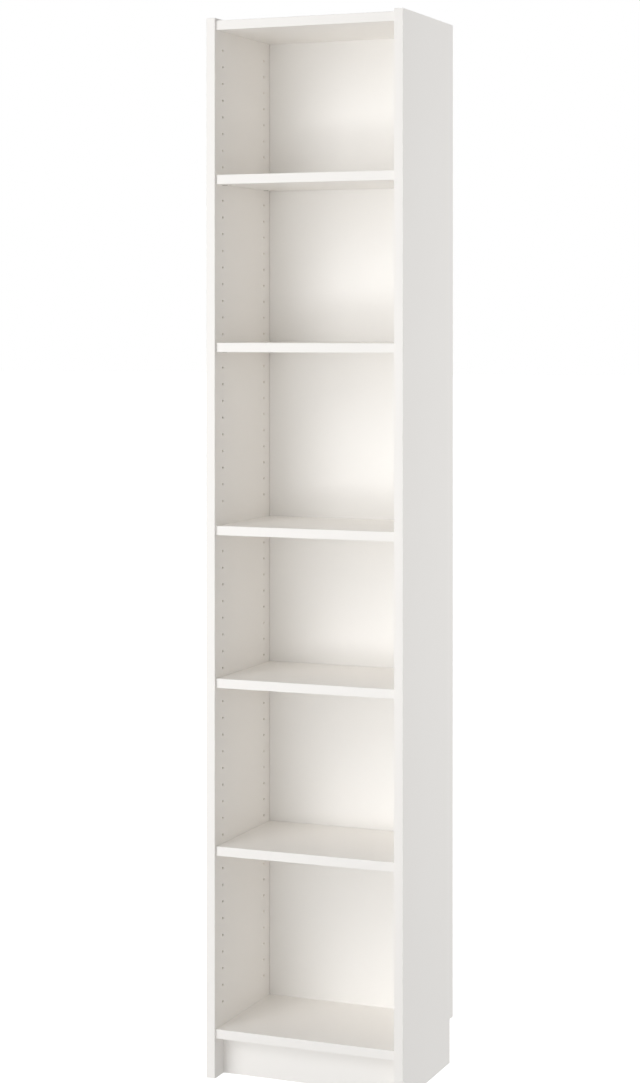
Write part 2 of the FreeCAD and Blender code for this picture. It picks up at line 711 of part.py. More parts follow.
def fastenings():
    bolt, lock, peg = cam_bolt(), cam_lock(), dowel()
    made = []
    for role, underside in FIXED_BOARDS.items():
        label = "fixed_shelf" if role == "fixed" else f"{role}_panel"
        middle = plus(underside, MID_BOARD)
        face, turn = (TOP_SURFACE, ALONG_X) if role == "top" else (underside, FACE_DOWN)
        columns = [plus(FRONT, column) for column in PIN_COLUMNS.values()]
        made.append(group(f"{label}_cam_bolts", bolt, side_places(PIN_COLUMNS.values(), middle)))
        made.append(group(f"{label}_cam_locks", lock, cam_spots(columns, face, turn)))
        made.append(group(f"{label}_dowels", peg, side_places(DOWEL_COLUMNS.values(), middle)))

    made.append(group("plinth_cam_bolts", bolt, side_places([PLINTH_COLUMN], PLINTH_BOLT_HEIGHT)))
    rear_face = plus(PLINTH_FRONT, size("board"))
    made.append(group("plinth_cam_locks", lock,
                      cam_spots([rear_face], PLINTH_BOLT_HEIGHT, FACE_REAR)))
    ends = side_places([PLINTH_COLUMN], size("plinth_dowel_height"))
    tops = [
        (plus(BOARD_LEFT, x), plus(FRONT, PLINTH_COLUMN), BOTTOM_UNDERSIDE, AGAINST_Z)
        for x in PLINTH_TOP_DOWEL_X
    ]
    made.append(group("plinth_dowels", peg, ends + tops))

    nail = headed("nail", size("nail_head_diameter"), size("nail_head_thickness"),
                  size("nail_diameter"), size("nail_length"))
    made.append(group("back_nails", nail, [
        (plus(BOARD_LEFT, x), BACK_REAR, plus(underside, nail_heights()[role]), AGAINST_Y)
        for role, underside in FIXED_BOARDS.items()
        for x in NAIL_X
    ]))
    return made


# ---------------------------------------------------------------- wall bracket
BRACKET_REACH = plus(size("back_setback"), size("bracket_landing"))


def wall_bracket():
    """Bent steel angle, drawn from the front left corner of the leg on the top panel."""
    body = new_body("wall_bracket")
    thick, rise = size("bracket_thickness"), size("bracket_rise")
    inner = minus(BRACKET_REACH, thick)
    angle = pad(body, "bracket_angle", "YZ", [
        ("0", "0"), (BRACKET_REACH, "0"), (BRACKET_REACH, rise),
        (inner, rise), (inner, thick), ("0", thick),
    ], size("bracket_width"))
    reach, thickness = number(BRACKET_REACH), number(thick)
    round_edges(
        body, angle, size("bracket_bend"),
        lambda middle, along: abs(along.x) > 0.9 and abs(middle.z) < 1e-6
        and abs(middle.y - reach) < 1e-6,
    )
    inner_bend = minus(size("bracket_bend"), thick)
    outer = body.Tip
    round_edges(
        body, outer, inner_bend,
        lambda middle, along: abs(along.x) > 0.9 and abs(middle.z - thickness) < 1e-6
        and abs(middle.y - reach + thickness) < 1e-6,
    )
    centre = half(size("bracket_width"))
    screws = [(plus(centre, x), size("bracket_screw_inset")) for x in BRACKET_SCREW_X]
    drill(body, "bracket_screw_bores", "XY", "0", screws,
          hole_for(size("screw_diameter")), thick, 1)
    drill(body, "wall_screw_bore", "XZ", BRACKET_REACH, [(centre, size("wall_screw_height"))],
          size("wall_screw_hole"), thick, -1)
    place(body, f"(-{centre})", minus(half(size("case_depth")), BRACKET_REACH), TOP_SURFACE)
    return body


def bracket_screws():
    screw = headed("bracket_screw", size("screw_head_diameter"), size("screw_head_height"),
                   size("screw_diameter"), size("screw_length"))
    y = f"({half(size('case_depth'))} - {BRACKET_REACH} + {size('bracket_screw_inset')})"
    z = plus(TOP_SURFACE, size("bracket_thickness"))
    return group("bracket_screws", screw, [(x, y, z, AGAINST_Z) for x in BRACKET_SCREW_X])


# ---------------------------------------------------------------- the whole bookcase
nodes = [
    side_panel("left", -1),
    side_panel("right", 1),
    top_panel(),
    fixed_board("fixed_shelf", "fixed"),
    bottom_panel(),
    plinth(),
    back_panel(),
]
for shelf in range(len(BAYS) * SHELVES_PER_BAY):
    height = shelf_pin_height(shelf // SHELVES_PER_BAY, shelf % SHELVES_PER_BAY + 1)
    nodes.append(adjustable_shelf(shelf + 1, height))
    nodes += shelf_pins(shelf + 1, height)
nodes += fastenings()
nodes += [wall_bracket(), bracket_screws()]
doc.recompute()

faults = [item.Name for item in doc.Objects if {"Invalid", "Error"} & set(item.State)]
faults += [n.Label for n in nodes if n.Shape.isNull() or not n.Shape.isValid()]
if faults:
    raise RuntimeError(f"these objects did not build: {faults}")

os.makedirs("parts", exist_ok=True)
for node in nodes:
    node.Shape.exportStep(f"parts/{node.Label}.step")
print(f"{len(nodes)} parts written")
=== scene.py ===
"""The looks of a tall, narrow white bookcase with adjustable shelves, built round its CAD frame."""

import math

import bpy
import numpy as np
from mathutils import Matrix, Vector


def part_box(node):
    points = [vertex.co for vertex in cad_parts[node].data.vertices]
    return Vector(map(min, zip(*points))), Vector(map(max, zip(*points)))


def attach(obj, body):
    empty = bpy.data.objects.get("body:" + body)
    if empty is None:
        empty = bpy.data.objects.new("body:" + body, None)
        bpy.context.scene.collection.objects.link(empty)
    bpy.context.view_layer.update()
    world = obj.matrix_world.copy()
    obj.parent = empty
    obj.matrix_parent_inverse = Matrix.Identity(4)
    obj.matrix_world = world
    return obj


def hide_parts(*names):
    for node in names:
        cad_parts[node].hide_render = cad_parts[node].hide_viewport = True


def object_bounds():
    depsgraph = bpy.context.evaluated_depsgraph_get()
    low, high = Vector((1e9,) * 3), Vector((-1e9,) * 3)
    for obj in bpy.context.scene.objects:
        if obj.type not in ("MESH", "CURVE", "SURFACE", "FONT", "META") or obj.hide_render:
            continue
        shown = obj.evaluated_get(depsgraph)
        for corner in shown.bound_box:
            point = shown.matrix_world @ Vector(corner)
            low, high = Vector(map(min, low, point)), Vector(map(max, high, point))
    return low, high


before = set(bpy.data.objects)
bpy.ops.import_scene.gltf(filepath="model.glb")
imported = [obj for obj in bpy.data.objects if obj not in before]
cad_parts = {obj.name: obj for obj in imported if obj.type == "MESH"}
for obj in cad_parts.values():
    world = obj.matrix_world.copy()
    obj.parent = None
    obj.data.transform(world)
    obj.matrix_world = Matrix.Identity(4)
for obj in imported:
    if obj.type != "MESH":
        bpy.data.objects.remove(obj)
cad_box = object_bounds()
MM = 0.001
LOW, HIGH = 0, 1
X, Y, Z = 0, 1, 2
SIDES = ("left", "right")
PIN_COLUMNS = ("front", "rear")
SHELVES = range(1, 5)
FASTENED = ("top_panel", "fixed_shelf", "bottom_panel", "plinth")


# ---------------------------------------------------------------- patterns and finishes
def math_operator(operation, swapped=False):
    """A Python operator that adds one Math node."""
    def apply(self, other):
        first, second = (other, self) if swapped else (self, other)
        return self.finish.maths(operation, first, second)
    return apply


class Amount:
    """Something that varies over a surface: a node's output, which Python's arithmetic works on."""

    def __init__(self, finish, socket):
        self.finish = finish
        self.socket = socket

    __add__ = math_operator("ADD")
    __radd__ = math_operator("ADD", swapped=True)
    __sub__ = math_operator("SUBTRACT")
    __rsub__ = math_operator("SUBTRACT", swapped=True)
    __mul__ = math_operator("MULTIPLY")
    __rmul__ = math_operator("MULTIPLY", swapped=True)
    __gt__ = math_operator("GREATER_THAN")
    __lt__ = math_operator("LESS_THAN")


class Finish:
    """A material and the patterns in it. Lengths are metres in the bookcase's own frame."""

    def __init__(self, name):
        self.material = bpy.data.materials.new(name)
        self.material.use_nodes = True
        self.tree = self.material.node_tree
        self.shader = self.tree.nodes["Principled BSDF"]
        self.place = self.node("ShaderNodeTexCoord", output="Object")
        self.surface = None

    def node(self, kind, settings=None, values=None, output=0):
        """Adds a node, sets it, then fills its sockets, and gives one of its outputs."""
        made = self.tree.nodes.new(kind)
        for name, value in (settings or {}).items():
            if name == "stops":
                self.set_stops(made.color_ramp, value)
            else:
                setattr(made, name, value)
        for name, value in (values or {}).items():
            self.fill(made.inputs[name], value)
        return Amount(self, made.outputs[output])

    def fill(self, socket, value):
        if isinstance(value, Amount):
            self.tree.links.new(value.socket, socket)
        else:
            socket.default_value = value

    @staticmethod
    def set_stops(ramp, stops):
        while len(ramp.elements) < len(stops):
            ramp.elements.new(1)
        for element, (position, colour) in zip(ramp.elements, stops):
            element.position = position
            element.color = (*colour, 1)

    def maths(self, operation, first, second=0.0, third=0.0):
        return self.node("ShaderNodeMath", {"operation": operation}, {0: first, 1: second, 2: third})

    def axes(self):
        split = self.node("ShaderNodeSeparateXYZ", values={0: self.place}).socket.node
        return [Amount(self, socket) for socket in split.outputs]

    def along_surface(self):
        """The piece's own UV map, as one vector: turns round its axis, and mm along its outline."""
        return self.node("ShaderNodeTexCoord", output="UV")

    def stretched(self, vector, scale):
        return self.node("ShaderNodeMapping", values={"Vector": vector, "Scale": scale})

    def grain(self, size, vector=None, detail=2.0, distortion=0.0):
        """Cloudy noise from 0 to 1, whose patches are about ``size`` across."""
        return self.node("ShaderNodeTexNoise", values={
            "Vector": vector or self.place, "Scale": 1 / size, "Detail": detail,
            "Distortion": distortion})

    def flakes(self, size, vector=None, feature="F1", output="Distance"):
        return self.node("ShaderNodeTexVoronoi", {"feature": feature}, {
            "Vector": vector or self.place, "Scale": 1 / size}, output)

    def mix(self, share, first, second):
        """A blend of two colours."""
        as_colour = [value if isinstance(value, Amount) else (*value, 1) for value in (first, second)]
        return self.node("ShaderNodeMix", {"data_type": "RGBA"},
                         {0: share, 6: as_colour[0], 7: as_colour[1]}, output=2)

    def ramp(self, share, *stops):
        return self.node("ShaderNodeValToRGB", {"stops": stops}, {0: share})

    def fade(self, amount, low, high):
        """0 where the amount is at ``low``, 1 at ``high``, and in between on a straight line."""
        return self.node("ShaderNodeMapRange", {"clamp": True},
                         {"Value": amount, "From Min": low, "From Max": high})

    def raise_by(self, height, depth):
        """Relief on top of what is there already: ``depth`` metres where the height is 1."""
        values = {"Height": height, "Distance": depth}
        if self.surface:
            values["Normal"] = self.surface
        self.surface = self.node("ShaderNodeBump", values=values)

    def done(self, colour, roughness, **constants):
        """Joins the patterns to the shader. Constants go by socket name, with _ for a space."""
        self.fill(self.shader.inputs["Base Color"], colour)
        self.fill(self.shader.inputs["Roughness"], roughness)
        if self.surface:
            self.fill(self.shader.inputs["Normal"], self.surface)
        for name, value in constants.items():
            self.shader.inputs[name.replace("_", " ")].default_value = value
        return self.material


FOIL_WHITE = (0.958, 0.937, 0.908)
FOIL_SHADE = (0.935, 0.912, 0.880)
PIN_HOLE_PITCH = 32 * MM
PIN_HOLE_REACH = 3 * MM      # a little more than the radius of a hole
# share of foil white mixed into the pin holes: painted light that lifts the shade inside them
PIN_HOLE_PAINTED_LIGHT = 0.7
SKIN_DEPTH = 0.5 * MM        # deeper than this under a foiled or painted face, the board is bare


def chipboard(finish, depth_share):
    """Colour and relief of the core: coarse flakes in the middle, fine ones near both faces."""
    coarse = finish.flakes(3.2 * MM, output="Color")
    fine = finish.flakes(0.9 * MM, output="Color")
    near_face = finish.fade(depth_share, 0.55, 0.75)
    pick = finish.mix(near_face, coarse, fine)
    tone = finish.node("ShaderNodeSeparateColor", values={0: pick})
    colour = finish.ramp(tone, (0.0, (0.46, 0.33, 0.20)), (0.3, (0.66, 0.52, 0.35)),
                         (0.65, (0.79, 0.67, 0.49)), (1.0, (0.88, 0.79, 0.63)))
    gaps = finish.flakes(3.2 * MM, feature="DISTANCE_TO_EDGE")
    return colour, gaps


def in_pin_holes(finish):
    """1 within the drilled holes: near one of their two columns, and near one of their even rows."""
    _, rearwards, up = finish.axes()
    front, rear = (np.mean(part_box(f"shelf_pin_1_left_{column}"), axis=0) for column in PIN_COLUMNS)
    near_column = finish.maths("COMPARE", rearwards, front[Y], PIN_HOLE_REACH)
    near_column += finish.maths("COMPARE", rearwards, rear[Y], PIN_HOLE_REACH)
    from_row = finish.maths("PINGPONG", up - front[Z], PIN_HOLE_PITCH / 2)
    return near_column * (from_row < PIN_HOLE_REACH)


def foiled_board(board, wrapped, across, paint_light_in_pin_holes=False):
    """White foil on the wrapped faces of a board, and bare chipboard everywhere else.

    ``wrapped`` lists (axis, side) pairs, where side is LOW or HIGH; ``across`` is the axis of the
    board's thickness. The pin holes get painted light: foil white mixed into their cut lifts their
    shade.
    """
    finish = Finish(f"foil_{board}")
    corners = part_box(board)
    axes = finish.axes()
    bare = 1.0
    for axis, side in wrapped:
        face = corners[side][axis]
        depth = axes[axis] - face if side == LOW else face - axes[axis]
        bare = (depth > SKIN_DEPTH) * bare
    middle = (corners[LOW][across] + corners[HIGH][across]) / 2
    half = (corners[HIGH][across] - corners[LOW][across]) / 2
    from_middle = finish.maths("ABSOLUTE", axes[across] - middle)
    core, gaps = chipboard(finish, from_middle * (1 / half))
    # painted light: the bare cut inside the pin holes is mixed towards foil white, which lifts the shade
    # that falls there
    if paint_light_in_pin_holes:
        core = finish.mix(in_pin_holes(finish) * PIN_HOLE_PAINTED_LIGHT, core, FOIL_WHITE)

    cloud = finish.grain(140 * MM, detail=3)
    fleck = finish.grain(1.3 * MM, detail=1)
    foil = finish.mix(cloud * 0.7 + fleck * 0.3, FOIL_SHADE, FOIL_WHITE)

    peel = finish.grain(0.8 * MM, detail=1)
    show_through = finish.grain(7 * MM, detail=2)
    wrapped_share = 1 - bare
    finish.raise_by(peel * wrapped_share, 0.012 * MM)
    finish.raise_by(show_through * wrapped_share, 0.02 * MM)
    finish.raise_by(finish.fade(gaps, 0.0, 0.12) * bare, 0.25 * MM)
    sheen = finish.grain(30 * MM, detail=4) * 0.10 + 0.31
    roughness = sheen * wrapped_share + 0.88 * bare
    return finish.done(finish.mix(bare, foil, core), roughness)


def hardboard():
    """Painted white in front; brown pressed fibre with bits of bark behind and at the edges."""
    finish = Finish("white_front_hardboard")
    low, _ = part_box("back_panel")
    bare = (finish.axes()[Y] - low[Y]) > SKIN_DEPTH
    fibre_place = finish.stretched(finish.place, (1, 1, 0.35))
    fibre = finish.grain(1.4 * MM, fibre_place, detail=4, distortion=1.5)
    bark = finish.fade(finish.grain(2.4 * MM, detail=1), 0.68, 0.74)
    cloud = finish.grain(160 * MM, detail=3)
    brown = finish.ramp(fibre * 0.6 + cloud * 0.4, (0.25, (0.33, 0.21, 0.125)),
                        (0.5, (0.42, 0.285, 0.175)), (0.75, (0.50, 0.36, 0.235)))
    brown = finish.mix(bark * 0.4, brown, (0.16, 0.095, 0.06))
    paint = finish.mix(cloud, (0.938, 0.927, 0.906), (0.954, 0.945, 0.926))
    finish.raise_by(fibre * bare, 0.12 * MM)
    finish.raise_by(finish.grain(1.1 * MM, detail=2) * (1 - bare), 0.015 * MM)
    roughness = (fibre * 0.12 + 0.66) * bare + (cloud * 0.08 + 0.40) * (1 - bare)
    return finish.done(finish.mix(bare, paint, brown), roughness)


def turned_steel():
    """Bright steel with the fine rings that turning leaves round the pin."""
    finish = Finish("turned_bright_steel")
    along = finish.along_surface()
    rings = finish.grain(0.12, finish.stretched(along, (0.15, 1, 1)), detail=2)
    smudge = finish.grain(2.5 * MM, detail=2)
    finish.raise_by(rings, 0.01 * MM)
    colour = finish.mix(smudge, (0.66, 0.655, 0.64), (0.76, 0.755, 0.745))
    return finish.done(colour, smudge * 0.12 + 0.16, Metallic=1.0)


def zinc_plate():
    """Blue-passivated zinc on steel: a faint crystal pattern with yellowish and bluish patches."""
    finish = Finish("zinc_plated_steel")
    crystals = finish.flakes(1.6 * MM, output="Color")
    shade = finish.node("ShaderNodeSeparateColor", values={0: crystals})
    tint = finish.grain(9 * MM, detail=2)
    colour = finish.mix(tint, (0.60, 0.61, 0.635), (0.67, 0.655, 0.61))
    finish.raise_by(finish.grain(0.5 * MM, detail=3), 0.012 * MM)
    return finish.done(colour, shade * 0.10 + 0.27, Metallic=1.0)


def die_cast_zinc():
    """Dull grey metal with the grainy skin of the mould."""
    finish = Finish("die_cast_zinc")
    skin = finish.grain(0.45 * MM, detail=3)
    stain = finish.grain(5 * MM, detail=2)
    finish.raise_by(skin, 0.05 * MM)
    colour = finish.mix(stain * 0.7 + skin * 0.3, (0.40, 0.40, 0.395), (0.55, 0.548, 0.54))
    return finish.done(colour, skin * 0.15 + 0.42, Metallic=1.0)


def beech():
    """Pale pinkish wood whose grain and short dark flecks run along the dowel."""
    finish = Finish("beech_dowel")
    along = finish.along_surface()
    grain = finish.grain(0.5, finish.stretched(along, (9, 0.12, 1)), detail=4, distortion=0.4)
    fleck = finish.fade(finish.flakes(0.6, finish.stretched(along, (14, 0.55, 1))), 0.0, 0.25)
    colour = finish.ramp(grain, (0.3, (0.60, 0.41, 0.25)), (0.55, (0.71, 0.53, 0.345)),
                         (0.8, (0.79, 0.63, 0.43)))
    colour = finish.mix((1 - fleck) * 0.5, colour, (0.42, 0.26, 0.15))
    finish.raise_by(grain, 0.06 * MM)
    return finish.done(colour, grain * 0.1 + 0.6)


# ---------------------------------------------------------------- boards and back, with their CAD meshes
def give(node, material):
    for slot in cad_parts[node].material_slots:
        slot.material = material


def finish_boards():
    for side in SIDES:
        panel = f"side_panel_{side}"
        wrapped = [(X, LOW), (X, HIGH), (Y, LOW), (Z, HIGH)]
        give(panel, foiled_board(panel, wrapped, across=X, paint_light_in_pin_holes=True))
    level = [(Z, LOW), (Z, HIGH), (Y, LOW)]
    for board in ("top_panel", "fixed_shelf", "bottom_panel"):
        give(board, foiled_board(board, level, across=Z))
    for number in SHELVES:
        shelf = f"adjustable_shelf_{number}"
        give(shelf, foiled_board(shelf, level + [(Y, HIGH), (X, LOW), (X, HIGH)], across=Z))
    give("plinth", foiled_board("plinth", [(Y, LOW), (Y, HIGH), (Z, LOW)], across=Y))
    give("back_panel", hardboard())


# ---------------------------------------------------------------- turned, threaded and fluted pieces
PIN_SHANK_LENGTH, PIN_SHANK_RADIUS = 8 * MM, 2.45 * MM
BOLT_THREAD_LENGTH, BOLT_THREAD_RADIUS, BOLT_SHAFT_RADIUS = 10 * MM, 2.45 * MM, 3.5 * MM
BOLT_HEAD_LENGTH, BOLT_HEAD_RADIUS, BOLT_NECK_RADIUS = 4.5 * MM, 3.3 * MM, 2.4 * MM
CAM_RADIUS = 7.5 * MM
NAIL_HEAD_THICKNESS, NAIL_RADIUS = 0.8 * MM, 0.75 * MM
SCREW_HEAD_HEIGHT, SCREW_RADIUS = 2.4 * MM, 1.95 * MM
CROSS_WIDTH = 1.1 * MM       # of each arm of a driver's cross
FLUTES, FLUTE_DEPTH = 18, 0.3 * MM
DOWEL_POINT = 1 * MM         # each end tapers by this much, over this length


def rounded(*corners, steps=5):
    """An outline whose corners are eased: each corner is (x, r, cut).

    The curve starts ``cut`` before its corner and ends ``cut`` after it. It is the parabola
    (1 - t)^2 start + 2 t (1 - t) corner + t^2 end. A point close to each of its ends keeps the
    flats flat.
    """
    points = np.array([corner[:2] for corner in corners], float)
    t = np.linspace(0, 1, steps)[:, None]
    line = [points[:1]]
    for before, corner, after, (_, _, cut) in zip(points, points[1:], points[2:], corners[1:-1]):
        back = (before - corner) / np.linalg.norm(before - corner)
        on = (after - corner) / np.linalg.norm(after - corner)
        start, end = corner + back * cut, corner + on * cut
        curve = (1 - t) ** 2 * start + 2 * t * (1 - t) * corner + t ** 2 * end
        line += [start[None] + back * cut / 4, curve, end[None] + on * cut / 4]
    return np.concatenate(line + [points[-1:]])


def finer(outline, start, end, step):
    """The same outline with points every ``step`` between two places along the axis."""
    extra = np.arange(start, end, step)
    body = outline[:, 0]
    after = np.searchsorted(np.maximum.accumulate(body), extra)
    added = np.stack([extra, np.interp(extra, body, outline[:, 1])], 1)
    return np.insert(outline, after, added, axis=0)


def thread(x, r, t, start, end, pitch, depth):
    """Cuts a V groove that winds round the axis once in every pitch and fades out at both ends."""
    turn = (x / pitch - t / (2 * np.pi)) % 1
    full = np.clip(np.minimum(x - start, end - x) / pitch, 0, 1)
    return r - depth * full * (1 - np.abs(2 * turn - 1))


def cross_recess(r, t, reach, depth):
    """Depth of a driver's cross at (r, t): two arms with sloping walls, tapered to their tips.

    An arm's depth is the lesser of two slopes: one rises from its tip to half its reach, the other
    over a wall a third of its width wide. The cross is the deeper of its two arms.
    """
    y, z = np.abs(r * np.cos(t)), np.abs(r * np.sin(t))
    wall = CROSS_WIDTH / 3
    arms = []
    for along, off in ((y, z), (z, y)):
        from_tip = np.clip((reach - along) / reach * 2, 0, 1)
        from_side = np.clip((CROSS_WIDTH / 2 - off) / wall + 0.5, 0, 1)
        arms.append(np.minimum(from_tip, from_side))
    return depth * np.maximum(*arms)


def revolved(outline, around, shape=None):
    """A closed surface round +X, as a grid of rings (one for each outline point) and columns.

    The point on ring s at the angle t lies at x = x(s), y = r(s) cos t, z = r(s) sin t, after
    ``shape(x, r, t)`` has changed x and r. The outline starts and ends on the axis, where one
    vertex closes the surface. Returns vertices, quads and triangles.
    """
    t = np.tile(2 * np.pi * np.arange(around) / around, (len(outline), 1))
    x, r = (np.repeat(values[:, None], around, axis=1) for values in outline.T)
    if shape:
        x, r = shape(x, r, t)
    grid = np.stack([x, r * np.cos(t), r * np.sin(t)], -1)
    rings = grid[1:-1].reshape(-1, 3)
    poles = grid[[0, -1], 0] * (1, 0, 0)
    column = np.arange(around)
    beside = (column + 1) % around
    row = np.arange(len(outline) - 3)[:, None] * around
    next_row = row + around
    quads = np.stack([row + column, row + beside, next_row + beside, next_row + column], -1)
    start, end = np.full(around, len(rings)), np.full(around, len(rings) + 1)
    last_row = (len(outline) - 3) * around
    fans = np.concatenate([np.stack([start, beside, column], -1),
                           np.stack([end, last_row + column, last_row + beside], -1)])
    return np.concatenate([rings, poles]), quads.reshape(-1, 4), fans


def add_surface_map(mesh, vertices, around):
    """A UV map: turns round the axis across, millimetres along the outline up.

    ``vertices`` are those of one copy of the shape. On a face that crosses the seam, the corners
    past it count as one turn on.
    """
    rings = (len(vertices) - 2) // around
    line = np.concatenate([vertices[-2:-1], vertices[:-2:around], vertices[-1:]])
    run = np.concatenate([[0], np.cumsum(np.linalg.norm(np.diff(line, axis=0), axis=1))]) / MM
    up = np.concatenate([np.repeat(run[1:-1], around), run[[0, -1]]])
    turn = np.concatenate([np.tile(np.arange(around) / around, rings), [0.0, 0.0]])
    corner = np.empty(len(mesh.loops), dtype=np.int64)
    mesh.loops.foreach_get("vertex_index", corner)
    corner %= len(vertices)
    count = np.empty(len(mesh.polygons), dtype=np.int64)
    mesh.polygons.foreach_get("loop_total", count)
    face_turn = np.maximum.reduceat(turn[corner], np.concatenate([[0], np.cumsum(count)[:-1]]))
    past_seam = (np.repeat(face_turn, count) - turn[corner]) > 0.5
    places = np.stack([turn[corner] + past_seam, up[corner]], -1)
    mesh.uv_layers.new(name="along").data.foreach_set("uv", places.ravel())


def turned_piece(name, outline, places, material, around=32, shape=None):
    """One mesh with the same turned shape at every place, which is (middle of its end, direction)."""
    vertices, quads, fans = revolved(outline, around, shape)
    points, faces = [], []
    for number, (start, ahead) in enumerate(places):
        aside = np.roll(np.abs(ahead), 1)
        points.append(vertices @ np.stack([ahead, aside, np.cross(ahead, aside)]) + start)
        first = number * len(vertices)
        faces += (quads + first).tolist() + (fans + first).tolist()
    mesh = bpy.data.meshes.new(name)
    mesh.from_pydata(np.concatenate(points).tolist(), [], faces)
    add_surface_map(mesh, vertices, around)
    mesh.materials.append(material)
    mesh.polygons.foreach_set("use_smooth", np.ones(len(mesh.polygons), dtype=bool))
    piece = bpy.data.objects.new(name, mesh)
    bpy.context.scene.collection.objects.link(piece)
    return piece


def solids(node):
    """The box of each separate solid in a node: corners that meet share a label, which spreads."""
    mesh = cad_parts[node].data
    points = np.empty(len(mesh.vertices) * 3)
    mesh.vertices.foreach_get("co", points)
    points = points.reshape(-1, 3)
    corners = np.empty(len(mesh.loops), dtype=np.int64)
    mesh.loops.foreach_get("vertex_index", corners)
    _, same = np.unique(np.round(points / (0.001 * MM)).astype(np.int64), axis=0, return_inverse=True)
    triangles = same.ravel()[corners].reshape(-1, 3)
    label, spread = None, np.arange(same.max() + 1)
    while label is None or (spread != label).any():
        label, spread = spread, spread.copy()
        lowest = label[triangles].min(axis=1)
        np.minimum.at(spread, triangles, np.repeat(lowest[:, None], 3, axis=1))
    owner = label[same.ravel()]
    return [(points[owner == one].min(axis=0), points[owner == one].max(axis=0))
            for one in np.unique(owner)]


def end_of(box, axis, side):
    """The middle of one end of a box, and the direction from there into it."""
    start = (box[LOW] + box[HIGH]) / 2
    start[axis] = box[side][axis]
    ahead = np.zeros(3)
    ahead[axis] = 1 if side == LOW else -1
    return start, ahead


def outer_end(box):
    """The end of a piece that lies across the case, on the side of the nearer side panel."""
    return end_of(box, X, LOW if box[LOW][X] < 0 else HIGH)


def stand_for(piece, node, body):
    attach(piece, body)
    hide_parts(node)


def shelf_pins(steel):
    for number in SHELVES:
        for side in SIDES:
            for column in PIN_COLUMNS:
                name = f"{number}_{side}_{column}"
                box = solids(f"shelf_pin_{name}")[0]
                length, nose = box[HIGH][X] - box[LOW][X], (box[HIGH][Z] - box[LOW][Z]) / 2
                outline = rounded(
                    (0, 0, 0),
                    (0, PIN_SHANK_RADIUS, 0.8 * MM),
                    (PIN_SHANK_LENGTH, PIN_SHANK_RADIUS, 0.1 * MM),
                    (PIN_SHANK_LENGTH, nose, 0.25 * MM),
                    (length, nose, 1.0 * MM),
                    (length, 0, 0))
                pin = turned_piece(f"turned_pin_{name}", outline, [outer_end(box)], steel, around=40)
                stand_for(pin, f"shelf_pin_{name}", f"pin_{name}")


def cam_bolts(plated):
    """Coarse thread in the side panel, a plain shaft, a thin neck and the head that the cam pulls."""
    for board in FASTENED:
        node = f"{board}_cam_bolts"
        boxes = solids(node)
        length = boxes[0][HIGH][X] - boxes[0][LOW][X]
        head_start = length - BOLT_HEAD_LENGTH
        shaft_end = length - BOLT_HEAD_LENGTH / 2 - CAM_RADIUS
        outline = rounded(
            (0, 0, 0),
            (0, BOLT_THREAD_RADIUS, 1.2 * MM),
            (BOLT_THREAD_LENGTH, BOLT_THREAD_RADIUS, 0.1 * MM),
            (BOLT_THREAD_LENGTH, BOLT_SHAFT_RADIUS, 0.4 * MM),
            (shaft_end, BOLT_SHAFT_RADIUS, 0.5 * MM),
            (shaft_end, BOLT_NECK_RADIUS, 0.3 * MM),
            (head_start, BOLT_NECK_RADIUS, 0.25 * MM),
            (head_start, BOLT_HEAD_RADIUS, 0.4 * MM),
            (length, BOLT_HEAD_RADIUS, 0.8 * MM),
            (length, 1.6 * MM, 0.1 * MM),
            (length, 0.8 * MM, 0.1 * MM),
            (length, 0, 0))
        outline = finer(outline, 1.6 * MM, BOLT_THREAD_LENGTH - 0.2 * MM, 0.2 * MM)

        def shape(x, r, t):
            in_face = x > length - 0.01 * MM
            cut = np.where(in_face, cross_recess(r, t, reach=2.4 * MM, depth=1.6 * MM), 0)
            threaded = thread(x, r, t, 0, BOLT_THREAD_LENGTH, pitch=2 * MM, depth=0.6 * MM)
            return x - cut, np.where(x < BOLT_THREAD_LENGTH - 0.1 * MM, threaded, r)

        places = [outer_end(box) for box in boxes]
        bolts = turned_piece(f"threaded_bolts_{board}", outline, places, plated, shape=shape)
        stand_for(bolts, node, "case")


def dowels(wood):
    """Fluted along their length: the radius drops by the flute depth where cos(flutes t) is high."""
    for board in FASTENED:
        node = f"{board}_dowels"
        boxes = solids(node)
        size = boxes[0][HIGH] - boxes[0][LOW]
        length, radius = size.max(), size.min() / 2
        outline = rounded(
            (0, 0, 0),
            (0, radius - DOWEL_POINT, 0.2 * MM),
            (DOWEL_POINT, radius, 0.3 * MM),
            (length - DOWEL_POINT, radius, 0.3 * MM),
            (length, radius - DOWEL_POINT, 0.2 * MM),
            (length, 0, 0),
            steps=3)

        def shape(x, r, t):
            from_end = np.clip(np.minimum(x, length - x) / DOWEL_POINT, 0, 1)
            flute = FLUTE_DEPTH * from_end * np.clip(np.cos(FLUTES * t), 0, 1)
            return x, np.where(r > radius / 2, r - flute, r)

        places = [end_of(box, int(np.argmax(box[HIGH] - box[LOW])), LOW) for box in boxes]
        pegs = turned_piece(f"fluted_dowels_{board}", outline, places, wood,
                            around=FLUTES * 6, shape=shape)
        stand_for(pegs, node, "case")


def back_nails(plated):
    """A slightly domed head, a plain shank and a point."""
    boxes = solids("back_nails")
    size = boxes[0][HIGH] - boxes[0][LOW]
    length, head = size[Y], size[X] / 2
    crown, point = 0.15 * MM, 2.2 * MM
    outline = rounded(
        (0, 0, 0),
        (crown, head * 0.8, 0.2 * MM),
        (NAIL_HEAD_THICKNESS * 0.6, head, 0.12 * MM),
        (NAIL_HEAD_THICKNESS, head, 0.1 * MM),
        (NAIL_HEAD_THICKNESS, NAIL_RADIUS, 0.15 * MM),
        (length - point, NAIL_RADIUS, 0.2 * MM),
        (length, 0, 0),
        steps=4)
    places = [end_of(box, Y, HIGH) for box in boxes]
    nails = turned_piece("domed_nails", outline, places, plated, around=24)
    stand_for(nails, "back_nails", "case")


